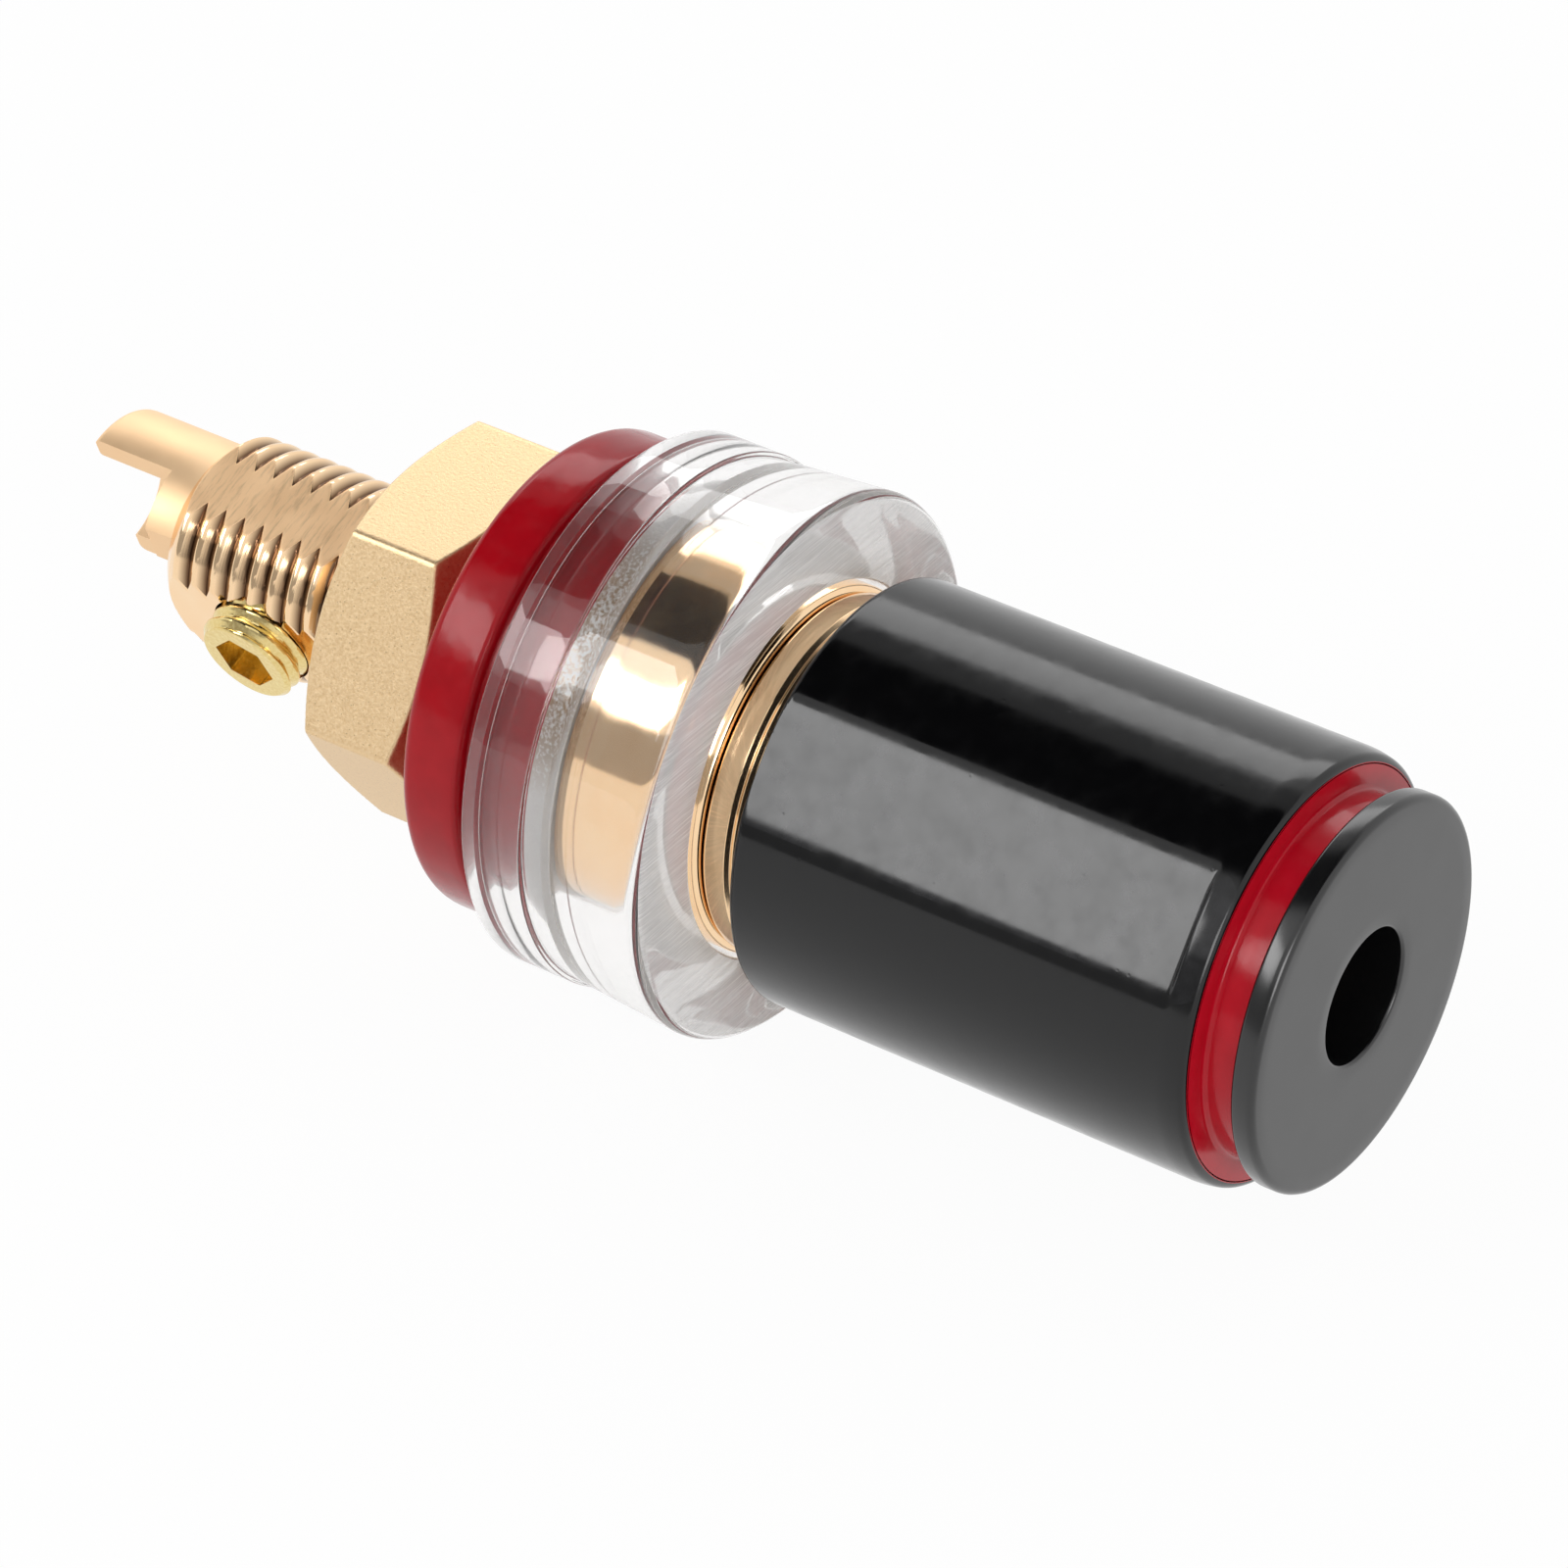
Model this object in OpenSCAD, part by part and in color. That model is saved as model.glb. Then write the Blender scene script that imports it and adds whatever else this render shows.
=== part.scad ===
// Panel-mount binding post with a 4 mm socket in its screw-down knob.
// The axis runs along X, towards the knob. The origin is on the axis, at the face that sits on the panel.

/* [Knob] */
// Outside diameter of the knob's shell
knob_d = 14.1; // [13.4:0.1:18]
// Length of the shell
knob_len = 16.3; // [12:0.1:24]
// Number of finger flats round the shell
knob_flats = 2; // [2:1:6]
// Depth of each finger flat below the round
flat_depth = 0.3; // [0.1:0.05:0.5]
// Round lip left in front of the flats
flat_lip = 0.9; // [0.5:0.1:2]
// Turn of the flats about the axis
flat_turn = 39.5; // [0:0.5:90]
// Rounding of the shell's two outer edges
shell_edge = 0.25; // [0.1:0.05:0.25]
// Wall of the shell round its mouth
mouth_wall = 0.27; // [0.26:0.01:0.5]

/* [Colour ring] */
// Visible width of the ring between shell and cap
ring_gap = 1.25; // [0.8:0.05:2]
// Diameter of the ring's neck
ring_neck_d = 11.7; // [11:0.1:12]
// Wall left between the ring's seat in the mouth and the end of the flats
seat_wall = 0.1; // [0.05:0.05:0.3]

/* [Cap] */
// Diameter of the front cap
cap_d = 12.8; // [12.2:0.1:13.6]
// Thickness of the cap's disc
cap_t = 0.8; // [0.6:0.05:1.5]
// Hole that the plug enters by
cap_hole_d = 4.4; // [4.2:0.05:4.8]
// Rounding of the cap's front edge
cap_edge = 0.25; // [0.1:0.05:0.5]
// Diameter of the boss behind the disc
cap_boss_d = 9.6; // [8.6:0.1:10]

/* [Knob core] */
// Diameter of the bright rim behind the shell
rim_d = 11.9; // [11:0.1:13]
// Width of the rim
rim_len = 1.65; // [1.2:0.05:2.5]
// Depth of the rim's turned grooves
rim_groove = 0.14; // [0.05:0.01:0.25]
// Diameter of the threaded sleeve inside the shell
sleeve_d = 10.5; // [9.6:0.1:11]
// Length of the sleeve inside the shell
sleeve_len = 11; // [6:0.5:13]

/* [Clear collar] */
// Diameter of the collar's rear flange
collar_flange_d = 17.8; // [16.5:0.1:22]
// Thickness of the rear flange
collar_flange_t = 2.2; // [2:0.1:3]
// Depth of the step in front of the flange
collar_step = 0.15; // [0.05:0.05:0.3]
// Diameter of the collar's front end, to which it widens
collar_d = 18.2; // [16.5:0.1:22]
// Length of the collar
collar_len = 6.7; // [5.5:0.1:9]
// Rounding of the collar's front edge
collar_edge = 0.4; // [0.2:0.1:1]
// Thickness of the web that the post pulls on
collar_web = 0.8; // [0.7:0.1:1.5]

/* [Rear washer] */
// Diameter of the washer's flange
washer_d = 16.1; // [15:0.1:18]
// Thickness of the flange
washer_t = 2.2; // [1.5:0.1:3]
// Diameter of the land that bears on the panel's rear
land_d = 15.3; // [14.6:0.1:15.6]
// Height of the land
land_t = 0.8; // [0.5:0.1:1.2]
// Diameter of the spigot that fills the panel hole
spigot_d = 13.8; // [13:0.1:14]
// Length of the spigot, which is the thickest panel
spigot_len = 1.6; // [1:0.1:1.8]
// Diameter of the hub that the nut bears on
hub_d = 11; // [9:0.1:11.2]
// Height of the hub
hub_t = 1.1; // [0.4:0.1:2]
// Rounding of the washer's edges
washer_edge = 0.4; // [0.1:0.05:0.6]

/* [Nut] */
// Width across the nut's flats
nut_af = 11.5; // [10.5:0.1:14]
// Thickness of the nut
nut_t = 4.2; // [3:0.1:6]
// Turn of the nut about the axis
nut_turn = 55.4; // [0:0.1:60]
// Height of the corner chamfer
nut_chamfer = 0.55; // [0.2:0.05:0.8]

/* [Post] */
// Diameter of the rear stud
stud_d = 7; // [6.6:0.1:8]
// Length of stud behind the nut
stud_len = 7.8; // [6.5:0.1:14]
// Chamfer at the stud's end
stud_chamfer = 0.55; // [0.2:0.05:0.55]
// Diameter of the drum inside the collar
drum_d = 12.2; // [11:0.1:12.6]
// How far the drum stands out of the collar
drum_proud = 0.2; // [0.1:0.05:1]
// Diameter of the front stem
stem_d = 8; // [7.4:0.1:8.6]
// Length of the stem in front of the drum
stem_len = 16; // [14:0.5:17]
// Diameter of the plug socket
socket_d = 4.1; // [4:0.05:4.2]
// Depth of the plug socket
socket_len = 14.5; // [10:0.5:15]
// Diameter of the cross hole for bare wire
wire_hole_d = 3; // [2:0.1:3.5]
// Distance of the cross hole's edge from the drum
wire_hole_gap = 0.6; // [0.3:0.1:1.2]

/* [Stud flats] */
// Turn of the flat that holds the grub screw
grub_turn = -20.5; // [-90:0.5:90]
// Distance of that flat from the axis
grub_flat = 3.05; // [2.9:0.05:3.3]
// Distance of the flat a quarter turn on
key_flat = 3.2; // [3:0.05:3.4]

/* [Solder cup] */
// Outside diameter of the cup
cup_d = 5.8; // [5:0.1:6.2]
// Diameter of the cup's bore
cup_bore_d = 4.2; // [3.6:0.1:4.4]
// Depth of the bore, from the end of the round part
cup_depth = 8; // [6.5:0.5:10]
// Length of the round part behind the stud
cup_stub = 1.1; // [0.5:0.1:2]
// Length of the half-round tongue
cup_tongue = 3.2; // [2:0.1:6]
// Distance from the axis of the face that opens the tongue
cup_open = 0.1; // [-0.5:0.1:0.5]
// Distance from the axis of the face that trims the round part
cup_trim = 2; // [1.6:0.1:2.4]

/* [Grub screw] */
// Diameter of the grub screw
grub_d = 3.5; // [3:0.1:4]
// Length of the grub screw
grub_len = 1.9; // [1.6:0.1:2]
// Width across the flats of its socket
grub_key = 1.9; // [1.3:0.1:2]
// Depth of its socket
grub_key_len = 1.2; // [0.8:0.1:1.4]
// How far it stands out of its flat
grub_proud = 1; // [0.6:0.05:1.2]
// Distance of its axis in front of the stud's end
grub_inset = 3.7; // [2.6:0.1:5]
// Chamfer of its two ends
grub_chamfer = 0.2; // [0.1:0.05:0.3]

/* [Fits] */
// Radial clearance of a screw or turning fit
run_gap = 0.06; // [0.03:0.01:0.1]
// Radial clearance of a piece that only passes through
pass_gap = 0.15; // [0.1:0.05:0.3]

/* [Hidden] */
$fn = 96;
eps = 0.01;
gold = "#e3bd7c";
black = "#1b1b1d";
red = "#b3121f";

// Stations along the axis, from the panel face
hub_x = -(land_t + washer_t + hub_t);
nut_x = hub_x - nut_t;
stud_x = nut_x - stud_len;
stub_x = stud_x - cup_stub;
tongue_x = stub_x - cup_tongue;
web_x = spigot_len + collar_web;
drum_x = collar_len + drum_proud;
stem_x = drum_x + stem_len;
rim_x = drum_x + run_gap;
shell_x = rim_x + rim_len + run_gap;
mouth_x = shell_x + knob_len;
ring_seat = flat_lip - seat_wall;
seat_x = mouth_x - ring_seat;
cap_x = mouth_x + ring_gap;
front_x = cap_x + cap_t;
grub_x = stud_x + grub_inset;
grub_face = grub_flat + grub_proud;
drum_edge = 0.25;
stem_edge = 0.4;
neck_fillet = 0.2;
boss_len = ring_gap + ring_seat;
ring_mouth_d = knob_d - 2 * mouth_wall;

// Points of an arc, from angle a0 to angle a1
function arc(at, r, a0, a1, n = 6) =
    [for (i = [0:n]) at + r * [cos(a0 + (a1 - a0) * i / n), sin(a0 + (a1 - a0) * i / n)]];

// Turns an outline of [radius, x] points about the X axis
module turned(outline) {
    rotate([0, 90, 0]) rotate_extrude() polygon(outline);
}

// A round bar or hole along X
module round_x(d, x0, x1) {
    translate([x0, 0, 0]) rotate([0, 90, 0]) cylinder(d = d, h = x1 - x0);
}

// Sets children, made with their outward side on +Z, at an angle above the near side of the axis
module facing(turn) {
    rotate([90 - turn, 0, 0]) children();
}

// What a flat cuts away beyond its distance from the axis
module flat_cut(turn, distance, x0, x1, w) {
    facing(turn) translate([x0, -w, distance]) cube([x1 - x0, 2 * w, w]);
}

// Turned post: stud with its flats, drum, stem, plug socket and solder cup
module post() {
    stud_r = stud_d / 2;
    color(gold) difference() {
        union() {
            turned([[0, stud_x], [stud_r - stud_chamfer, stud_x],
                    [stud_r, stud_x + stud_chamfer], [stud_r, web_x], [drum_d / 2, web_x],
                    [drum_d / 2, drum_x - drum_edge], [drum_d / 2 - drum_edge, drum_x], [stem_d / 2, drum_x],
                    [stem_d / 2, stem_x - stem_edge], [stem_d / 2 - stem_edge, stem_x], [0, stem_x]]);
            cup_part(stub_x, stud_x, cup_trim);
            cup_part(tongue_x, stub_x, cup_open);
        }
        round_x(socket_d, stem_x - socket_len, stem_x + eps);
        round_x(cup_bore_d, tongue_x - eps, stub_x + cup_depth);
        translate([drum_x + wire_hole_gap + wire_hole_d / 2, 0, 0])
            cylinder(d = wire_hole_d, h = 2 * stem_d, center = true);
        flat_cut(grub_turn, grub_flat, stud_x - eps, nut_x, stud_d);
        flat_cut(grub_turn + 90, key_flat, stud_x - eps, nut_x, stud_d);
        facing(grub_turn) translate([grub_x, 0, 0]) cylinder(d = grub_d + 2 * run_gap, h = stud_d);
    }
}

// A length of the solder cup, cut off at a distance towards the grub screw
module cup_part(x0, x1, distance) {
    difference() {
        round_x(cup_d, x0, x1 + eps);
        flat_cut(grub_turn, distance, x0 - eps, x1 + 2 * eps, cup_d);
    }
}

// Clear insulating collar that the drum sinks into
module clear_collar() {
    r = collar_d / 2;
    flange_r = collar_flange_d / 2;
    color("white", 0.35) turned(concat(
        [[spigot_d / 2 + pass_gap, 0], [flange_r, 0], [flange_r, collar_flange_t],
         [flange_r - collar_step, collar_flange_t]],
        arc([r - collar_edge, collar_len - collar_edge], collar_edge, 0, 90),
        [[drum_d / 2 + pass_gap, collar_len], [drum_d / 2 + pass_gap, web_x], [stud_d / 2 + pass_gap, web_x],
         [stud_d / 2 + pass_gap, spigot_len], [spigot_d / 2 + pass_gap, spigot_len]]));
}

// Red insulating washer behind the panel, with its land and spigot
module rear_washer() {
    r = washer_d / 2;
    back_x = -(land_t + washer_t);
    hole_r = stud_d / 2 + pass_gap;
    color(red) turned(concat(
        [[hole_r, hub_x], [hub_d / 2, hub_x], [hub_d / 2, back_x]],
        arc([r - washer_edge, back_x + washer_edge], washer_edge, -90, 0),
        arc([r - washer_edge, -land_t - washer_edge], washer_edge, 0, 90),
        [[land_d / 2, -land_t], [land_d / 2, 0], [spigot_d / 2, 0], [spigot_d / 2, spigot_len],
         [hole_r, spigot_len]]));
}

// Hexagon nut, with the corners turned off at both ends
module nut() {
    corner_d = nut_af / cos(30);
    color(gold) difference() {
        intersection() {
            facing(nut_turn) translate([nut_x, 0, 0]) rotate([0, 90, 0])
                cylinder(d = corner_d, h = nut_t, $fn = 6);
            turned([[0, nut_x], [nut_af / 2, nut_x], [corner_d / 2, nut_x + nut_chamfer],
                    [corner_d / 2, hub_x - nut_chamfer], [nut_af / 2, hub_x], [0, hub_x]]);
        }
        round_x(stud_d + 2 * run_gap, nut_x - eps, hub_x + eps);
    }
}

// Socket-head grub screw that clamps a cable in the cup
module grub_screw() {
    r = grub_d / 2;
    color("#d9b23c") facing(grub_turn) translate([grub_x, 0, grub_face - grub_len]) difference() {
        rotate_extrude() polygon([[0, 0], [r - grub_chamfer, 0], [r, grub_chamfer],
                                  [r, grub_len - grub_chamfer], [r - grub_chamfer, grub_len], [0, grub_len]]);
        translate([0, 0, grub_len - grub_key_len])
            cylinder(d = grub_key / cos(30), h = grub_key_len + eps, $fn = 6);
    }
}

// Threaded brass core of the knob, with its grooved rim
module knob_core() {
    r = rim_d / 2;
    end_x = rim_x + rim_len;
    land = rim_len / 6;
    color(gold) turned(concat(
        [[stem_d / 2 + run_gap, rim_x], [r - rim_groove, rim_x], [r, rim_x + rim_groove]],
        [for (i = [3:4]) each [[r, rim_x + i * land], [r - rim_groove, rim_x + (i + 0.5) * land]]],
        [[r, rim_x + 5 * land], [r, end_x], [sleeve_d / 2, end_x], [sleeve_d / 2, end_x + sleeve_len],
         [stem_d / 2 + run_gap, end_x + sleeve_len]]));
}

// Black shell of the knob, with milled finger flats
module knob_shell() {
    r = knob_d / 2;
    bore_r = sleeve_d / 2 + run_gap;
    mouth_r = ring_mouth_d / 2;
    color(black) difference() {
        turned(concat([[bore_r, shell_x]], arc([r - shell_edge, shell_x + shell_edge], shell_edge, -90, 0),
                      arc([r - shell_edge, mouth_x - shell_edge], shell_edge, 0, 60),
                      [[mouth_r, mouth_x], [mouth_r, seat_x], [bore_r, seat_x]]));
        for (i = [0:knob_flats - 1])
            flat_cut(flat_turn + i * 360 / knob_flats, r - flat_depth, shell_x - eps, mouth_x - flat_lip, r);
    }
}

// Red ring that fills the shell's mouth, with a neck that carries the cap
module colour_ring() {
    neck_r = ring_neck_d / 2;
    color(red) turned(concat(
        [[cap_boss_d / 2, seat_x], [ring_mouth_d / 2, seat_x], [ring_mouth_d / 2, mouth_x]],
        arc([neck_r + neck_fillet, mouth_x + neck_fillet], neck_fillet, -90, -180),
        [[neck_r, cap_x], [cap_boss_d / 2, cap_x]]));
}

// Black front cap with the plug's hole and the boss that holds it in the ring
module front_cap() {
    r = cap_d / 2;
    color(black) difference() {
        turned(concat([[0, cap_x - boss_len], [cap_boss_d / 2, cap_x - boss_len], [cap_boss_d / 2, cap_x],
                       [r - cap_edge / 2, cap_x], [r, cap_x + cap_edge / 2]],
                      arc([r - cap_edge, front_x - cap_edge], cap_edge, 0, 90), [[0, front_x]]));
        round_x(cap_hole_d, cap_x - boss_len - eps, front_x + eps);
    }
}

post();
clear_collar();
rear_washer();
nut();
grub_screw();
knob_core();
knob_shell();
colour_ring();
front_cap();
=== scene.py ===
# %% [markdown]
# # A binding post, dressed for a studio picture
# A binding post is the screw terminal on the back of a loudspeaker or a bench supply. Its frame
# comes from the CAD model, in metres, with the axis along X and the knob towards +X. Every piece
# below is made again as a finer mesh in the same place, because close-up metal needs round edges
# and real threads, and each then stands for its CAD node.

# %% Load the frame
import math

import bmesh
import bpy
import numpy as np
from mathutils import Matrix, Vector


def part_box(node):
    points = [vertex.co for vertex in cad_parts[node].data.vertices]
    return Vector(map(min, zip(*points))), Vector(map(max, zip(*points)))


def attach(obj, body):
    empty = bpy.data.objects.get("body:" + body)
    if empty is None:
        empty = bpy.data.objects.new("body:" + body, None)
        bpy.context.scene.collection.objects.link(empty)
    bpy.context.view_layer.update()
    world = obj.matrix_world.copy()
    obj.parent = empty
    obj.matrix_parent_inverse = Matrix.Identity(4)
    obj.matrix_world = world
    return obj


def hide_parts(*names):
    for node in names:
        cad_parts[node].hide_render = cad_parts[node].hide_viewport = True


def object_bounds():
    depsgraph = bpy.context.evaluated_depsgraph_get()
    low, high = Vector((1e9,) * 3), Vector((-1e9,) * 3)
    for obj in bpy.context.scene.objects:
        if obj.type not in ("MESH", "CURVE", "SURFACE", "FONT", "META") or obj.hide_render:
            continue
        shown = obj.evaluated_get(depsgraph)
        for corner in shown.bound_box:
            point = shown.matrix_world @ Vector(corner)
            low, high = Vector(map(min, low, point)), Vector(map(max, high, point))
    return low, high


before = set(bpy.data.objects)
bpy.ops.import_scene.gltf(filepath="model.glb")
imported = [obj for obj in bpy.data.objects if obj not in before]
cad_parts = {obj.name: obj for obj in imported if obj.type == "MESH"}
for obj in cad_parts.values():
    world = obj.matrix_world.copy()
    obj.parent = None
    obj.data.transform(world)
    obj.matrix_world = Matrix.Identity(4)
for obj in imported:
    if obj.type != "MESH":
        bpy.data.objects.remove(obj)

MM = 0.001
cad_box = [list(corner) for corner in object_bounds()]
print("CAD box in mm:", [[round(v / MM, 2) for v in corner] for corner in cad_box])


# %% [markdown]
# ## Sizes from the frame
# A turned piece is known by where it starts and ends on the axis and by its radius, so one function
# reads those three from a node's box. Sizes that a box can't show, such as a bore, are named in
# millimetres beside their piece.

# %% Read where each piece lies
def span(node):
    """Start, end and radius of a node on the X axis, in millimetres."""
    low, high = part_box(node)
    return low.x / MM, high.x / MM, max(high.y, -low.y, high.z, -low.z) / MM


POST_X0, POST_X1, DRUM_R = span("post")
COLLAR_X0, COLLAR_X1, COLLAR_R = span("clear_collar")
WASHER_X0, WASHER_X1, WASHER_R = span("rear_washer")
NUT_X0, NUT_X1, _ = span("nut")
CORE_X0, CORE_X1, RIM_R = span("knob_core")
SHELL_X0, SHELL_X1, SHELL_R = span("knob_shell")
RING_X0, RING_X1, _ = span("colour_ring")
CAP_X0, CAP_X1, CAP_R = span("front_cap")
print("shell from", round(SHELL_X0, 2), "to", round(SHELL_X1, 2), "radius", round(SHELL_R, 2))


# %% [markdown]
# ## The camera
# The photograph was taken with a long lens from in front, to the left and above. The lens and the
# camera's place were worked out from the ellipses of the round edges. Blender's sensor is 36 mm
# wide for a square picture, so a focal length in pixels turns into millimetres by a simple ratio.

# %% Place the camera
PICTURE = 1600
FOCAL_PX = 8000
AXIS_IN_VIEW = Vector((0.8234, -0.3354, 0.4577)).normalized()
ORIGIN_IN_VIEW = Vector((-4.885, 2.697, -246.555))

tilt = math.atan2(-AXIS_IN_VIEW.y, AXIS_IN_VIEW.z)
up_in_view = Vector((0, math.cos(tilt), math.sin(tilt)))
side_in_view = up_in_view.cross(AXIS_IN_VIEW)
to_frame = Matrix((AXIS_IN_VIEW, side_in_view, up_in_view))
camera = bpy.data.objects.new("camera", bpy.data.cameras.new("camera"))
camera.data.sensor_width = 36
camera.data.lens = 36 * FOCAL_PX / PICTURE
camera.data.clip_start = 0.01
camera.matrix_world = Matrix.Translation(to_frame @ -ORIGIN_IN_VIEW * MM) @ to_frame.to_4x4()
bpy.context.scene.collection.objects.link(camera)
bpy.context.scene.camera = camera
print("camera at", [round(v, 4) for v in camera.location], "lens", camera.data.lens)


# %% [markdown]
# ## Turning a shape
# Nearly every piece here was made on a lathe, so the mesh is made the same way: an outline of
# points along the axis, spun round it. Blender's Screw modifier could do the spin, but it can't cut
# flats, hexagons or threads. Here each ring of points passes through a small function that may pull
# it in at some angles, as a cutter would.

# %% Outlines with rounded corners
def rounded(points, closed=False, steps=5):
    """An outline of (x, radius, fillet) points in mm, with an arc at each corner that has a fillet."""
    out = []
    count = len(points)
    for i, (x, r, fillet) in enumerate(points):
        here = Vector((x, r))
        if not fillet or (not closed and i in (0, count - 1)):
            out.append(here)
            continue
        before = (Vector(points[i - 1][:2]) - here).normalized()
        after = (Vector(points[(i + 1) % count][:2]) - here).normalized()
        half = before.angle(after) / 2
        reach = fillet / math.tan(half)
        centre = here + (before + after).normalized() * (fillet / math.sin(half))
        start = here + before * reach - centre
        sweep = start.angle_signed(here + after * reach - centre)
        for k in range(steps + 1):
            turn = -sweep * k / steps
            out.append(centre + Matrix.Rotation(turn, 2) @ start)
    return out


def parted(a, b, step):
    """Points from a up to, but not at, b, at most step mm apart."""
    parts = max(1, math.ceil((b - a).length / step))
    return [a.lerp(b, k / parts) for k in range(parts)]


def divided(outline, step, closed=False, coarse=math.inf):
    """The same outline cut to at most step mm.

    A stretch much longer than coarse is cut to coarse mm instead, with one step at each end, which
    keeps the shading of a rounded corner from bleeding along the straight beside it.
    """
    out = []
    ends = zip(outline, outline[1:] + outline[:1]) if closed else zip(outline, outline[1:])
    for a, b in ends:
        length = (b - a).length
        if length > coarse + 2 * step:
            near, far = a.lerp(b, step / length), a.lerp(b, 1 - step / length)
            out += [a] + parted(near, far, coarse) + [far]
        else:
            out += parted(a, b, step)
    return out if closed else out + [outline[-1]]


square = rounded([(0, 1, 0.2), (2, 1, 0.2), (2, 3, 0.2), (0, 3, 0.2)], closed=True)
print("a square with rounded corners has", len(square), "points")


# %% The lathe
def lathe(name, outline, closed=False, sides=240, cut=None, smooth=32):
    """A mesh object turned about X. cut(x, r, angle) gives the radius that is left at each angle."""
    angle = np.linspace(0, 2 * math.pi, sides, endpoint=False)
    rings = []
    for x, r in outline:
        radius = np.full(sides, float(r)) if cut is None or r < 1e-6 else cut(x, r, angle)
        rings.append(np.stack([np.full(sides, x), -radius * np.cos(angle), radius * np.sin(angle)], 1))
    count = len(rings)
    verts = np.concatenate(rings) * MM
    loops = range(count if closed else count - 1)
    faces = [(i * sides + j, i * sides + (j + 1) % sides,
              (i + 1) % count * sides + (j + 1) % sides, (i + 1) % count * sides + j)
             for i in loops for j in range(sides)]
    mesh = bpy.data.meshes.new(name)
    mesh.from_pydata(verts.tolist(), [], faces)
    work = bmesh.new()
    work.from_mesh(mesh)
    bmesh.ops.remove_doubles(work, verts=work.verts, dist=1e-8)
    bmesh.ops.recalc_face_normals(work, faces=work.faces)
    work.to_mesh(mesh)
    work.free()
    return finished(name, mesh, smooth)


def finished(name, mesh, smooth=32):
    """Links a mesh as a smooth-shaded object whose edges over that many degrees stay crisp."""
    mesh.shade_smooth()
    mesh.set_sharp_from_angle(angle=math.radians(smooth))
    piece = bpy.data.objects.new(name, mesh)
    bpy.context.scene.collection.objects.link(piece)
    return piece


def stand_for(piece, node, body, material):
    """The piece takes a CAD node's place on a body, with a finish."""
    piece.data.materials.clear()
    piece.data.materials.append(material)
    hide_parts(node)
    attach(piece, body)
    print(f"{piece.name}: {len(piece.data.polygons)} faces for {node}")


def softer(a, b, blend):
    """The smaller of two radii, with the corner between them rounded over about blend mm."""
    h = np.clip(0.5 + 0.5 * (b - a) / blend, 0, 1)
    return b * (1 - h) + a * h - blend * h * (1 - h)


def off_nearest(angle, first, count):
    """Angle from the nearest of count directions spread evenly round the axis."""
    pitch = 2 * math.pi / count
    return (angle - math.radians(first) + pitch / 2) % pitch - pitch / 2


corner = 1 / math.cos(off_nearest(math.pi / 6, 0, 6))
print("a hexagon whose flats lie at 1 mm has its corners at", round(corner, 3), "mm")


# %% [markdown]
# ## Colours and nodes
# Colours are written as sRGB hex values, as a picture program shows them, and one function turns
# them to the linear light that the shaders work in. One more function adds a node, sets it up and
# links its inputs, so that a material reads as a list of what feeds what.

# %% Colour and node helpers
def linear(code, alpha=1.0):
    """A hex colour as linear RGBA."""
    parts = [int(code[i:i + 2], 16) / 255 for i in (1, 3, 5)]
    return [p / 12.92 if p <= 0.04045 else ((p + 0.055) / 1.055) ** 2.4 for p in parts] + [alpha]


def add(tree, kind, settings=None, links=None, **values):
    """Adds a node.

    settings are its properties, values its sockets by name, and links its sockets fed by others.
    """
    node = tree.nodes.new("ShaderNode" + kind)
    for key, value in (settings or {}).items():
        setattr(node, key, value)
    for key, value in values.items():
        node.inputs[key.replace("_", " ")].default_value = value
    for key, source in (links or {}).items():
        tree.links.new(source, node.inputs[key])
    return node


def new_material(name):
    """An empty node material, its tree, and the point of each surface in metres."""
    material = bpy.data.materials.new(name)
    material.use_nodes = True
    material.node_tree.nodes.clear()
    place = add(material.node_tree, "TexCoord").outputs["Object"]
    return material, material.node_tree, place


def surface(tree, shader):
    """Links a shader to the material's output."""
    add(tree, "OutputMaterial", links={"Surface": shader.outputs[0]})


def per_mm(size):
    """Scale of a pattern whose features are this many millimetres."""
    return 1 / (size * MM)


def maths(tree, operation, first, second):
    """A two-value sum on a socket, with a number or another socket."""
    node = add(tree, "Math", settings={"operation": operation}, links={0: first})
    if isinstance(second, (int, float)):
        node.inputs[1].default_value = second
    else:
        tree.links.new(second, node.inputs[1])
    return node.outputs[0]


def distance_along(tree, place, direction):
    """How far a point lies from the origin in a direction, in metres."""
    node = add(tree, "VectorMath", settings={"operation": "DOT_PRODUCT"}, links={0: place})
    node.inputs[1].default_value = direction
    return node.outputs["Value"]


def distance_from_axis(tree, place):
    """How far a point lies from the X axis, in metres."""
    flat = add(tree, "VectorMath", settings={"operation": "MULTIPLY"}, links={0: place})
    flat.inputs[1].default_value = (0, 1, 1)
    length = add(tree, "VectorMath", settings={"operation": "LENGTH"}, links={0: flat.outputs[0]})
    return length.outputs["Value"]


def outwards(turn):
    """Direction straight out from the axis, at an angle in degrees that starts at -Y and goes up."""
    turn = math.radians(turn)
    return 0, -math.cos(turn), math.sin(turn)


def beyond(tree, place, turn, distance):
    """1 where a point lies past a distance in mm in a direction round the axis, as a flat's face does."""
    return maths(tree, "GREATER_THAN", distance_along(tree, place, outwards(turn)), distance * MM)


def remap(tree, value, low, high, to_low=0.0, to_high=1.0):
    """A value moved from one range to another and held at its ends."""
    node = add(tree, "MapRange", links={"Value": value}, From_Min=low, From_Max=high, To_Min=to_low,
               To_Max=to_high)
    return node.outputs[0]


def noise(tree, place, size, detail, **values):
    """Cloudy noise whose features are about size mm."""
    node = add(tree, "TexNoise", links={"Vector": place}, Scale=per_mm(size), Detail=detail, **values)
    return node.outputs[0]


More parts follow.
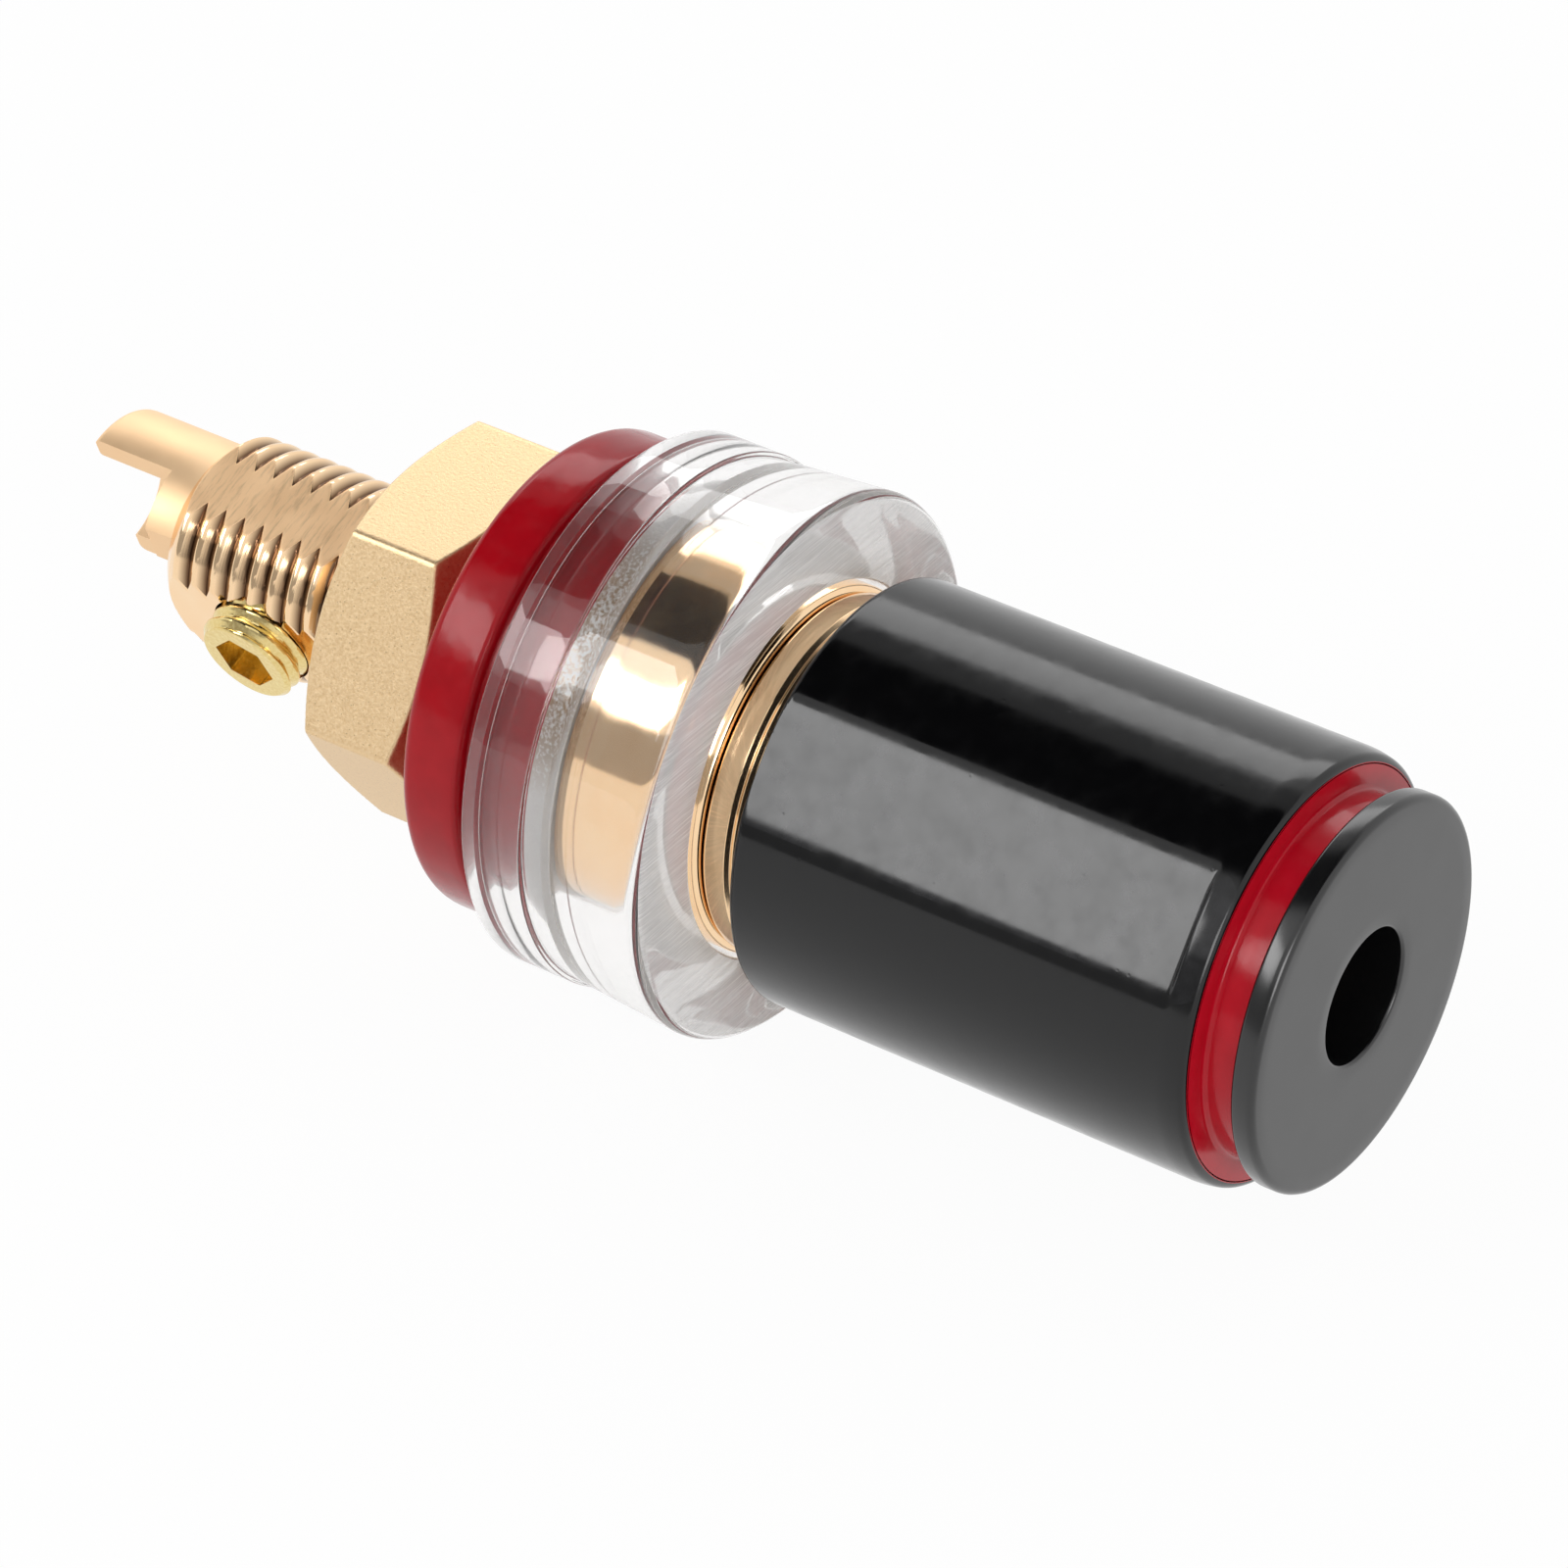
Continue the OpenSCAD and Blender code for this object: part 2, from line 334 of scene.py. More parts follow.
def stretched_noise(tree, place, scale, turn=(0, 0, 0), **values):
    """Noise with its own scale per metre along each axis."""
    node = add(tree, "Mapping", links={"Vector": place}, Scale=scale, Rotation=turn)
    return add(tree, "TexNoise", links={"Vector": node.outputs[0]}, Scale=1.0, **values).outputs[0]


def between(tree, factor, first, second):
    """A colour between two hex colours."""
    node = add(tree, "MixRGB", links={"Fac": factor}, Color1=linear(first), Color2=linear(second))
    return node.outputs[0]


def bump(tree, height, strength, depth):
    """A normal that is tilted by a pattern of heights up to depth mm."""
    return add(tree, "Bump", links={"Height": height}, Strength=strength, Distance=depth * MM).outputs[0]


def principled(tree, colour, dull, relief, **values):
    """The main shader, with its colour, roughness and normal fed by patterns."""
    links = {"Base Color": colour, "Roughness": dull, "Normal": relief}
    return add(tree, "BsdfPrincipled", links=links, **values)


ALONG = (1, 0, 0)
print("mid grey #808080 in linear light:", round(linear("#808080")[0], 3))


# %% [markdown]
# ## Gold plate on turned brass
# The post and the knob's core are brass, turned on a lathe, polished and plated with a rosy gold.
# The eye gets a near mirror with a warm tint, very fine rings left by the tool, and small cloudy
# patches where the polish is duller. The rings are noise that is stretched round the axis, which is
# cheaper than modelling them. One flat of the stud was milled and not polished, so points that lie
# far enough out towards it get a rough, brushed finish. The tail was only tumbled, so it is duller
# too. The roots of the thread are painted dark brown, which is painted shade for the grooves.

# %% Turned gold plate
TOOL_RING = 0.05  # the real feed is nearer 0.02 mm, drawn coarser so that it shows
BRUSH, BRUSH_LEAN = 0.16, 0.1
RING_ROUND, BRUSH_ROUND = 60, 700  # how fast each pattern changes round the axis, per metre
CLOUD = 1.6
SKIN = 0.03  # a mask starts this far under the face that it is for
STUD_R, THREAD_DEPTH, STUD_CHAMFER = 3.5, 0.22, 0.55
KEY_TURN, KEY_FLAT = 69.5, 3.2
GRUB_TURN, GRUB_FLAT = KEY_TURN - 90, 3.05
CUP_TONGUE, CUP_STUB = 3.2, 1.1
STUB_X = POST_X0 + CUP_TONGUE
STUD_X = STUB_X + CUP_STUB
MILLED_DULL, TAIL_DULL, BRUSH_LIFT, ROOT_SHADE = 0.5, 0.42, 12.0, 0.95

turned_gold, tree, place = new_material("gold_plate_on_turned_brass")
rings = stretched_noise(tree, place, (per_mm(TOOL_RING), RING_ROUND, RING_ROUND), Detail=3.0)
brush = stretched_noise(tree, place, (per_mm(BRUSH), BRUSH_ROUND, BRUSH_ROUND), (0, 0, BRUSH_LEAN),
                        Detail=6.0, Roughness=0.7)
cloud = noise(tree, place, CLOUD, 4.0)
along_axis = distance_along(tree, place, ALONG)
from_axis = distance_from_axis(tree, place)
behind_nut = maths(tree, "LESS_THAN", along_axis, NUT_X0 * MM)
milled = maths(tree, "MULTIPLY", beyond(tree, place, KEY_TURN, KEY_FLAT - SKIN), behind_nut)
flats = maths(tree, "MAXIMUM", milled, beyond(tree, place, GRUB_TURN, GRUB_FLAT - SKIN))
on_stud = maths(tree, "GREATER_THAN", along_axis, (STUD_X + STUD_CHAMFER) * MM)
near_crest = maths(tree, "GREATER_THAN", from_axis, (STUD_R - 2 * THREAD_DEPTH) * MM)
on_thread = maths(tree, "MULTIPLY", maths(tree, "MULTIPLY", on_stud, behind_nut), near_crest)
# painted shade: the thread's roots are multiplied towards dark brown, deepest at the root, to stand for
# the shade in the grooves
sunk = remap(tree, from_axis, (STUD_R - THREAD_DEPTH) * MM, (STUD_R - SKIN) * MM, ROOT_SHADE, 0.0)
root_shade_mask = maths(tree, "MULTIPLY", maths(tree, "GREATER_THAN", on_thread, flats), sunk)
tail = maths(tree, "LESS_THAN", along_axis, STUD_X * MM)
unpolished = maths(tree, "ADD", maths(tree, "MULTIPLY", milled, MILLED_DULL),
                   maths(tree, "MULTIPLY", tail, TAIL_DULL))
dull = maths(tree, "ADD", remap(tree, cloud, 0.35, 0.7, 0.06, 0.15), unpolished)
stroke = remap(tree, brush, 0.36, 0.5, 0.78)
tint = between(tree, cloud, "#f6cc9c", "#fcdfb8")
brushed = add(tree, "MixRGB", settings={"blend_type": "MULTIPLY"},
              links={"Fac": milled, "Color1": tint, "Color2": stroke})
root_shaded = add(tree, "MixRGB", settings={"blend_type": "MULTIPLY"}, Color2=linear("#4a2c16"),
                links={"Fac": root_shade_mask, "Color1": brushed.outputs[0]})
lines = maths(tree, "MULTIPLY", brush, maths(tree, "MULTIPLY", milled, BRUSH_LIFT))
relief = bump(tree, maths(tree, "ADD", rings, lines), 0.12, 0.01)
surface(tree, principled(tree, root_shaded.outputs[0], dull, relief, Metallic=1.0))
print("made", turned_gold.name)


# %% [markdown]
# ## Gold plate on a tumbled nut
# The nut was cut from bar, tumbled and plated, so its faces are grainy and pale, with tiny bright
# and dark specks. A cell pattern gives the specks and a fine noise the grain. The grain roughens the
# mirror, so the faces look satin.

# %% Satin gold plate
GRAIN, SPECK, SPECK_SHARE = 0.1, 0.17, 0.45

satin_gold, tree, place = new_material("gold_plate_on_tumbled_brass")
grain = noise(tree, place, GRAIN, 5.0, Roughness=0.65)
speck = add(tree, "TexVoronoi", links={"Vector": place}, Scale=per_mm(SPECK)).outputs["Distance"]
tint = between(tree, grain, "#dcb27a", "#fce6c0")
mottled = add(tree, "MixRGB", settings={"blend_type": "MULTIPLY"}, Fac=SPECK_SHARE,
              links={"Color1": tint, "Color2": remap(tree, speck, 0.02, 0.18)})
dull = remap(tree, grain, 0.3, 0.7, 0.34, 0.5)
surface(tree, principled(tree, mottled.outputs[0], dull, bump(tree, grain, 0.6, 0.02), Metallic=1.0))
print("made", satin_gold.name)


# %% [markdown]
# ## Yellow brass
# The grub screw is a bought-in brass screw, greener and yellower than the plated pieces, and rolled
# smooth.

# %% Rolled brass
DRAW_MARK = 0.12

brass, tree, place = new_material("rolled_yellow_brass")
marks = noise(tree, place, DRAW_MARK, 3.0)
dull = remap(tree, marks, 0.3, 0.7, 0.14, 0.26)
tint = between(tree, marks, "#d8b76c", "#f6e6aa")
surface(tree, principled(tree, tint, dull, bump(tree, marks, 0.1, 0.01), Metallic=1.0))
print("made", brass.name)


# %% [markdown]
# ## Clear acrylic
# The collar is acrylic turned from rod and polished. It bends light like thick glass, but it isn't
# as clean: the whole piece is a little milky, most of all where it is seen edge on, the front face
# is scuffed, and the web that the post pulls on was left as the tool cut it. Each of these scatters
# white light, so one factor says how much of the glass is replaced by a white scatterer. On the
# side where the drum's gold glints in the web, the tool marks are painted brown: a painted reflection of
# the gold.

# %% Turned acrylic
SCUFF_LENGTH, SCUFF_WIDTH, SCUFF_TURN = 1.5, 0.05, 0.9
TOOL_MARK = 0.12
HAZE = 2.2
WEB_T, WEB_R = 0.8, 7.04
FACE_SKIN = 0.05  # a face's mask starts this far from it, so that its rounded edges count too
WEB_WHITE, EDGE_WHITE, MILKY, LET_THROUGH = 0.9, 0.55, 0.015, 0.3
GLINT_TURN, GLINT_START, GLINT_FULL = 48, 0.8 * WEB_R, 0.97 * WEB_R

acrylic, tree, place = new_material("turned_clear_acrylic")
scuff = stretched_noise(tree, place, (per_mm(SCUFF_LENGTH), per_mm(SCUFF_LENGTH), per_mm(SCUFF_WIDTH)),
                        (SCUFF_TURN, 0, 0), Detail=3.0, Distortion=0.6)
mark = noise(tree, place, TOOL_MARK, 4.0)
along_axis = distance_along(tree, place, ALONG)
on_front = maths(tree, "GREATER_THAN", along_axis, (COLLAR_X1 - FACE_SKIN) * MM)
inside = maths(tree, "LESS_THAN", distance_from_axis(tree, place), WEB_R * MM)
behind_drum = maths(tree, "LESS_THAN", along_axis, (WASHER_X1 + WEB_T + FACE_SKIN) * MM)
on_web = maths(tree, "MULTIPLY", inside, behind_drum)
scuffs = maths(tree, "MULTIPLY", on_front, remap(tree, scuff, 0.45, 0.75, 0.68, 1.0))
edge_on = add(tree, "LayerWeight", Blend=0.3).outputs["Facing"]
edge_white = maths(tree, "MULTIPLY", maths(tree, "POWER", edge_on, 4.0), EDGE_WHITE)
rubbed = maths(tree, "ADD", edge_white, MILKY)
cut_white = maths(tree, "MULTIPLY", on_web, WEB_WHITE)
white_share = maths(tree, "MAXIMUM", maths(tree, "MAXIMUM", scuffs, cut_white), rubbed)
# painted reflection: on the side where the drum's gold glints, the web's tool marks are coloured brown
towards_glint = distance_along(tree, place, outwards(GLINT_TURN))
off_glint = remap(tree, towards_glint, GLINT_START * MM, GLINT_FULL * MM, 1.0, 0.0)
plain = maths(tree, "MAXIMUM", maths(tree, "LESS_THAN", on_web, 0.5), off_glint)
chalk_and_painted_glint = between(tree, maths(tree, "MAXIMUM", remap(tree, mark, 0.4, 0.6), plain), "#b08c62", "#ffffff")
rough_cut = bump(tree, maths(tree, "MULTIPLY", mark, on_web), 0.8, 0.08)
haze = remap(tree, noise(tree, place, HAZE, 3.0), 0.45, 0.75, 0.01, 0.1)
clear = add(tree, "BsdfPrincipled", Base_Color=linear("#fdfcfb"), Transmission_Weight=1.0, IOR=1.49,
            links={"Roughness": haze})
bounced = add(tree, "BsdfDiffuse", links={"Color": chalk_and_painted_glint, "Normal": rough_cut})
passed = add(tree, "BsdfTranslucent", Color=linear("#f4f1ee"))
white = add(tree, "MixShader", links={1: bounced.outputs[0], 2: passed.outputs[0]}, Fac=LET_THROUGH)
surface(tree, add(tree, "MixShader", links={0: white_share, 1: clear.outputs[0], 2: white.outputs[0]}))
print("made", acrylic.name)


# %% [markdown]
# ## Red nylon
# The washer and the colour ring are moulded in a deep red plastic that is glossy and a little see-
# through at its edges. The gloss has a faint ripple from the mould, and here and there a rub. The
# washer is the darker of the two: partly its own deeper red, partly painted shade for its land,
# which lies in shade between its flange and the collar.

# %% Moulded red nylon
RIPPLE, RUB = 0.9, 0.5


def moulded_red(name, deep, bright):
    """A glossy red moulding whose colour lies between two tones."""
    material, tree, place = new_material(name)
    ripple = noise(tree, place, RIPPLE, 2.0)
    dull = remap(tree, noise(tree, place, RUB, 5.0), 0.4, 0.75, 0.12, 0.26)
    plastic = principled(tree, between(tree, ripple, deep, bright), dull, bump(tree, ripple, 0.08, 0.05),
                         IOR=1.53, Specular_IOR_Level=0.22, Subsurface_Weight=0.1,
                         Subsurface_Scale=0.4 * MM, Subsurface_Radius=(1.0, 0.1, 0.1))
    surface(tree, plastic)
    print("made", name)
    return material


red_nylon = moulded_red("moulded_red_nylon", "#b20a1e", "#c81228")
# painted shade, in part: the washer's darker reds also stand for the shade on its land behind the collar
dark_and_shaded_red_nylon = moulded_red("moulded_dark_and_shaded_red_nylon", "#900612", "#a80a18")


# %% [markdown]
# ## Black lacquer
# The knob's shell is brass under a thick baked black lacquer. It reflects like dark glass, with the
# slight orange peel of a sprayed coat and a few dust pits, which show best on the flats. Handling
# leaves a thin grey film there.

# %% Sprayed black lacquer
PEEL, DUST, FILM = 0.7, 0.8, 1.1
FILM_SHARE, FILM_SKIN = 0.09, 0.02
FLATS, FLAT_TURN, FLAT_DEPTH = 2, 39.5, 0.3

lacquer, tree, place = new_material("sprayed_black_lacquer")
peel = noise(tree, place, PEEL, 2.0)
dust = add(tree, "TexVoronoi", links={"Vector": place}, Scale=per_mm(DUST)).outputs["Distance"]
relief = bump(tree, maths(tree, "ADD", peel, remap(tree, dust, 0.02, 0.09)), 0.1, 0.02)
either_side = maths(tree, "ABSOLUTE", distance_along(tree, place, outwards(FLAT_TURN)), 0)
on_flat = maths(tree, "GREATER_THAN", either_side, (SHELL_R - FLAT_DEPTH - FILM_SKIN) * MM)
film = remap(tree, noise(tree, place, FILM, 6.0, Roughness=0.6), 0.4, 0.72, 0.0, FILM_SHARE)
soiled = between(tree, maths(tree, "MULTIPLY", on_flat, film), "#060607", "#77777c")
surface(tree, principled(tree, soiled, remap(tree, peel, 0.3, 0.75, 0.1, 0.2), relief, IOR=1.46))
print("made", lacquer.name)


# %% [markdown]
# ## Black moulded plastic
# The front cap is a black moulding, polished like the shell but softer, so its face mirrors the
# white table as an even grey while its rim stays dark.

# %% Moulded black plastic
CLOUDY = 1.2

black_plastic, tree, place = new_material("moulded_black_abs")
cloudy = noise(tree, place, CLOUDY, 5.0)
dull = remap(tree, cloudy, 0.3, 0.7, 0.16, 0.24)
plastic = add(tree, "BsdfPrincipled", Base_Color=linear("#0f0f10"), IOR=1.62,
              links={"Roughness": dull, "Normal": bump(tree, cloudy, 0.05, 0.03)})
surface(tree, plastic)
print("made", black_plastic.name)


# %% [markdown]
# ## The post
# One turned piece makes the stud with its thread and two milled flats, the drum, the stem and the
# solder cup. The thread could be a bump, but its outline shows against the white, so it is cut into
# the rings: the groove's depth depends on how far along and how far round a point lies. The flats
# then cut whatever stands beyond them, which gives their saw-tooth borders without any drawing.

# %% Thread and flats of the stud
PITCH = 0.75
CUP_R, CUP_BORE_R, CUP_DEPTH = 2.9, 2.1, 8.0
SOCKET_R, SOCKET_LEN, STEM_R, STEM_LEN = 2.05, 14.5, 4.0, 16
WEB_X = WASHER_X1 + WEB_T
DRUM_X = POST_X1 - STEM_LEN
CUP_MARGIN = 0.05  # rings this close to the cup's radius have no thread
NUT_COVER = 0.3  # the flats run this far into the nut
FACING = 0.2  # least cosine at which a direction still meets a flat
THREAD_STEP, LONG_STEP = 0.05, 1.0
CREST, FLANK = 0.2, 1.25  # width of the thread's flat crest, and how steeply its flanks fall
TOUCH = 0.02  # two surfaces at one place can't both be traced, so the clear one stands off by this much


def thread(x, angle, pitch, depth):
    """Depth of a V thread with blunt crests and roots."""
    phase = (x / pitch + angle / (2 * math.pi)) % 1
    return depth * np.clip(np.abs(2 * phase - 1) * FLANK - CREST, 0, 1)


def stud_cut(x, r, angle):
    """Cuts the thread as far as the nut's front, and the two flats as far as the nut."""
    left = np.full_like(angle, r)
    if r < CUP_R + CUP_MARGIN or x > NUT_X1:
        return left
    left = np.minimum(left, STUD_R - thread(x, angle, PITCH, THREAD_DEPTH))
    if x < NUT_X0 + NUT_COVER:
        for turn, distance in ((GRUB_TURN, GRUB_FLAT), (KEY_TURN, KEY_FLAT)):
            across = np.cos(angle - math.radians(turn))
            flat = distance / np.maximum(across, FACING)
            left = np.where(across > FACING, np.minimum(left, flat), left)
    return left


def threaded(a, b):
    """Whether a stretch of the outline is on the stud, where the thread needs close rings."""
    return STUD_X < (a.x + b.x) / 2 < NUT_X1 and a.y > CUP_R


outline = rounded([
    (STUB_X + CUP_DEPTH, 0, 0), (STUB_X + CUP_DEPTH, CUP_BORE_R, 0), (POST_X0, CUP_BORE_R, 0.12),
    (POST_X0, CUP_R, 0.25), (STUD_X, CUP_R, 0.04), (STUD_X, STUD_R - STUD_CHAMFER, 0.02),
    (STUD_X + STUD_CHAMFER, STUD_R, 0.1), (NUT_X1, STUD_R, 0), (WEB_X, STUD_R, 0),
    (WEB_X, DRUM_R, 0.2), (DRUM_X, DRUM_R, 0.25), (DRUM_X, STEM_R, 0.1),
    (POST_X1, STEM_R, 0.3), (POST_X1, SOCKET_R, 0.15), (POST_X1 - SOCKET_LEN, SOCKET_R, 0),
    (POST_X1 - SOCKET_LEN, 0, 0)])
fine = []
for a, b in zip(outline, outline[1:]):
    fine += parted(a, b, THREAD_STEP if threaded(a, b) else LONG_STEP)
fine.append(outline[-1])
post = lathe("threaded_post", fine, sides=256, cut=stud_cut)
print("post outline:", len(fine), "points")


# %% [markdown]
# The solder cup is opened on one side, the grub screw's hole is drilled through the wall, and the
# stem gets a cross hole for bare wire. Boolean modifiers make these cuts, as a mill and a drill
# would, and their result is kept as the mesh.

# %% Mill the cup open and drill the holes
def aimed(turn, x, distance=0.0):
    """Matrix that sends +Z to a direction round the axis, at a place along it."""
    across = Matrix.Rotation(math.radians(90 - turn), 4, "X")
    return Matrix.Translation((x * MM, 0, 0)) @ across @ Matrix.Translation((0, 0, distance * MM))


def cutter(name, matrix, size=None, radius=None, depth=None, sides=64):
    """A box or a round cutter for a Boolean, standing on its own origin along +Z."""
    mesh = bpy.data.meshes.new(name)
    work = bmesh.new()
    if radius is None:
        bmesh.ops.create_cube(work, size=1.0)
        bmesh.ops.scale(work, verts=work.verts, vec=[s * MM for s in size])
        bmesh.ops.translate(work, verts=work.verts, vec=(0, 0, size[2] * MM / 2))
    else:
        bmesh.ops.create_cone(work, cap_ends=True, segments=sides, depth=depth * MM,
                              radius1=radius * MM, radius2=radius * MM)
        bmesh.ops.translate(work, verts=work.verts, vec=(0, 0, depth * MM / 2))
    work.to_mesh(mesh)
    work.free()
    mesh.transform(matrix)
    tool = bpy.data.objects.new(name, mesh)
    bpy.context.scene.collection.objects.link(tool)
    return tool


def cut_away(piece, tools, smooth=32):
    """Cuts the tools out of a piece and keeps the result as its mesh."""
    for tool in tools:
        step = piece.modifiers.new(tool.name, "BOOLEAN")
        step.operation, step.object, step.solver = "DIFFERENCE", tool, "EXACT"
    graph = bpy.context.evaluated_depsgraph_get()
    mesh = bpy.data.meshes.new_from_object(piece.evaluated_get(graph))
    piece.modifiers.clear()
    piece.data = mesh
    mesh.shade_smooth()
    mesh.set_sharp_from_angle(angle=math.radians(smooth))
    for tool in tools:
        bpy.data.objects.remove(tool)


GRUB_R, GRUB_GAP, GRUB_FROM_END = 1.75, 0.06, 3.7
GRUB_X = STUD_X + GRUB_FROM_END
WIRE_R, WIRE_GAP = 1.5, 0.6
WIRE_X = DRUM_X + WIRE_GAP + WIRE_R
CUP_OPEN, CUP_TRIM = 0.1, 2.0
MILL, MILL_LEN = 8, 6
DRILL_FROM, DRILL_LEN, WIRE_DRILL_LEN = 0.5, 6, 12
mill = cutter("cup_mill", aimed(GRUB_TURN, STUB_X - MILL_LEN / 2, CUP_OPEN), size=(MILL_LEN, MILL, MILL))
trim = cutter("cup_trim", aimed(GRUB_TURN, STUD_X - CUP_STUB / 2, CUP_TRIM), size=(CUP_STUB, MILL, MILL))
drill = cutter("grub_drill", aimed(GRUB_TURN, GRUB_X, DRILL_FROM), radius=GRUB_R + GRUB_GAP,
               depth=DRILL_LEN)
wire_drill = cutter("wire_drill", aimed(90, WIRE_X, -WIRE_DRILL_LEN / 2), radius=WIRE_R,
                    depth=WIRE_DRILL_LEN)
cut_away(post, [mill, trim, drill, wire_drill])
stand_for(post, "post", "post", turned_gold)


# %% [markdown]
# ## The nut
# A hexagon nut is a hexagonal bar with both ends turned to a cone, so its faces end in arcs. Taking
# the smaller of the cone's radius and the hexagon's radius at each angle gives just that, and a
# soft minimum rounds the edges.

# %% Hexagon nut
NUT_AF, NUT_TURN, NUT_CHAMFER, NUT_BORE_R = 11.5, 55.4, 0.55, 3.56
NUT_EDGE = 0.06  # rounding of the edges between its faces
HEX_MARGIN = 0.2  # rings this far inside the flats aren't cut
NUT_FACE_IN, BAR_SPARE, NUT_STEP = 0.1, 0.05, 0.12


def hexagon_cut(x, r, angle):
    """Cuts six flats into the outer rings."""
    left = np.full_like(angle, r)
    if r <= NUT_AF / 2 - HEX_MARGIN:
        return left
    return softer(left, NUT_AF / 2 / np.cos(off_nearest(angle, NUT_TURN + 30, 6)), NUT_EDGE)


face_r = NUT_AF / 2 - NUT_FACE_IN
bar_r = NUT_AF / 2 / math.cos(math.pi / 6) + BAR_SPARE
outline = rounded([
    (NUT_X0, NUT_BORE_R, 0), (NUT_X0, face_r, 0.1), (NUT_X0 + NUT_CHAMFER, bar_r, 0.05),
    (NUT_X1 - NUT_CHAMFER, bar_r, 0.05), (NUT_X1, face_r, 0.1), (NUT_X1, NUT_BORE_R, 0)], closed=True)
nut = lathe("hexagon_nut", divided(outline, NUT_STEP, True, coarse=LONG_STEP), closed=True, sides=360,
            cut=hexagon_cut, smooth=50)
stand_for(nut, "nut", "post", satin_gold)


# %% [markdown]
# ## The grub screw
# A short headless screw with a hexagon socket. It is turned along X like the rest, with its thread
# and socket cut in the same way, and then aimed out of the stud's flat.

# %% Grub screw
GRUB_LEN, GRUB_FACE, GRUB_CHAMFER, GRUB_PITCH, GRUB_THREAD = 1.9, 4.05, 0.2, 0.5, 0.2
GRUB_RIM = 0.25  # the thread is cut into rings within this of the outside
GRUB_KEY, GRUB_KEY_LEN, GRUB_KEY_TURN, KEY_LEAD, KEY_FLARE = 1.9, 1.2, 15, 0.18, 0.1
KEY_REACH = 0.66 * GRUB_KEY  # the socket is cut into rings within this radius
ROUND_OFF = 1e-6


def grub_cut(x, r, angle):
    """Cuts the thread into the outside and the hexagon into the socket."""
    left = np.full_like(angle, r)
    if r > GRUB_R - GRUB_RIM:
        return np.minimum(left, GRUB_R - thread(x, angle, GRUB_PITCH, GRUB_THREAD))
    if x > GRUB_LEN - GRUB_KEY_LEN - ROUND_OFF and r < KEY_REACH:
        return np.minimum(left, GRUB_KEY / 2 / np.cos(off_nearest(angle, GRUB_KEY_TURN, 6)))
    return left


key_r = GRUB_KEY / 2 / math.cos(math.pi / 6)
outline = rounded([
    (0, 0, 0), (0, GRUB_R - GRUB_CHAMFER, 0.05), (GRUB_CHAMFER, GRUB_R, 0.05),
    (GRUB_LEN - GRUB_CHAMFER, GRUB_R, 0.05), (GRUB_LEN, GRUB_R - GRUB_CHAMFER, 0.06),
    (GRUB_LEN, key_r + KEY_FLARE, 0.04), (GRUB_LEN - KEY_LEAD, key_r, 0),
    (GRUB_LEN - GRUB_KEY_LEN, key_r, 0), (GRUB_LEN - GRUB_KEY_LEN, 0, 0)])
grub = lathe("grub_screw_threaded", divided(outline, THREAD_STEP), sides=180, cut=grub_cut)
x_to_z = Matrix.Rotation(-math.pi / 2, 4, "Y")
grub.data.transform(aimed(GRUB_TURN, GRUB_X, GRUB_FACE - GRUB_LEN) @ x_to_z)
stand_for(grub, "grub_screw", "grub", brass)


# %% [markdown]
# ## Washer and collar
# Both are plain turned rings. What matters is that the collar is a closed solid with real inner
# walls and a thin air gap to the drum and the washer, because the path tracer bends light at each
# wall. The collar's web is drawn as a ring of its own, a hair away from the rest: its rim then is a
# surface that the light can fall on, which makes the pale band between washer and drum. Both rings
# together stand for the one collar.

# %% Rear washer
LAND_R, LAND_T, SPIGOT_R, HUB_R, HUB_T, HOLE_R = 7.65, 0.8, 6.9, 5.5, 1.1, 3.65
RING_STEP = 0.4
outline = rounded([
    (WASHER_X0, HOLE_R, 0), (WASHER_X0, HUB_R, 0.15), (WASHER_X0 + HUB_T, HUB_R, 0.1),
    (WASHER_X0 + HUB_T, WASHER_R, 0.4), (COLLAR_X0 - LAND_T, WASHER_R, 0.25),
    (COLLAR_X0 - LAND_T, LAND_R, 0.06), (COLLAR_X0, LAND_R, 0.08), (COLLAR_X0, SPIGOT_R, 0.05),
    (WASHER_X1, SPIGOT_R, 0.15), (WASHER_X1, HOLE_R, 0)], closed=True)
washer = lathe("red_washer", divided(outline, RING_STEP, True), closed=True)
stand_for(washer, "rear_washer", "post", dark_and_shaded_red_nylon)

# %% Clear collar
FLANGE_R, FLANGE_T, COLLAR_STEP, COLLAR_EDGE, AIR = 8.9, 2.2, 0.15, 0.4, 0.15
seam_r = SPIGOT_R + AIR
body = rounded([
    (COLLAR_X0, seam_r, 0.05), (COLLAR_X0, FLANGE_R, 0.1), (COLLAR_X0 + FLANGE_T, FLANGE_R, 0.06),
    (COLLAR_X0 + FLANGE_T, FLANGE_R - COLLAR_STEP, 0.06), (COLLAR_X1, COLLAR_R, COLLAR_EDGE),
    (COLLAR_X1, DRUM_R + AIR, 0.08), (WEB_X - TOUCH, DRUM_R + AIR, 0.05), (WEB_X - TOUCH, seam_r, 0.05)],
    closed=True)
collar = lathe("acrylic_collar", divided(body, RING_STEP, True), closed=True)
web_outline = rounded([
    (WASHER_X1 + TOUCH, HOLE_R, 0.05), (WASHER_X1 + TOUCH, seam_r - TOUCH, 0.05),
    (WEB_X - TOUCH, seam_r - TOUCH, 0.05), (WEB_X - TOUCH, HOLE_R, 0.05)], closed=True)
web = lathe("acrylic_web", divided(web_outline, RING_STEP, True), closed=True)
stand_for(web, "clear_collar", "post", acrylic)
stand_for(collar, "clear_collar", "post", acrylic)


# %% [markdown]
# ## The knob
# A gold core carries the thread, a black shell is the grip, a red ring says which pole it is and a
# black cap closes the front round the plug's hole. Each flat on the shell stops short of a round
# lip, so the cut fades out over the last quarter of a millimetre.

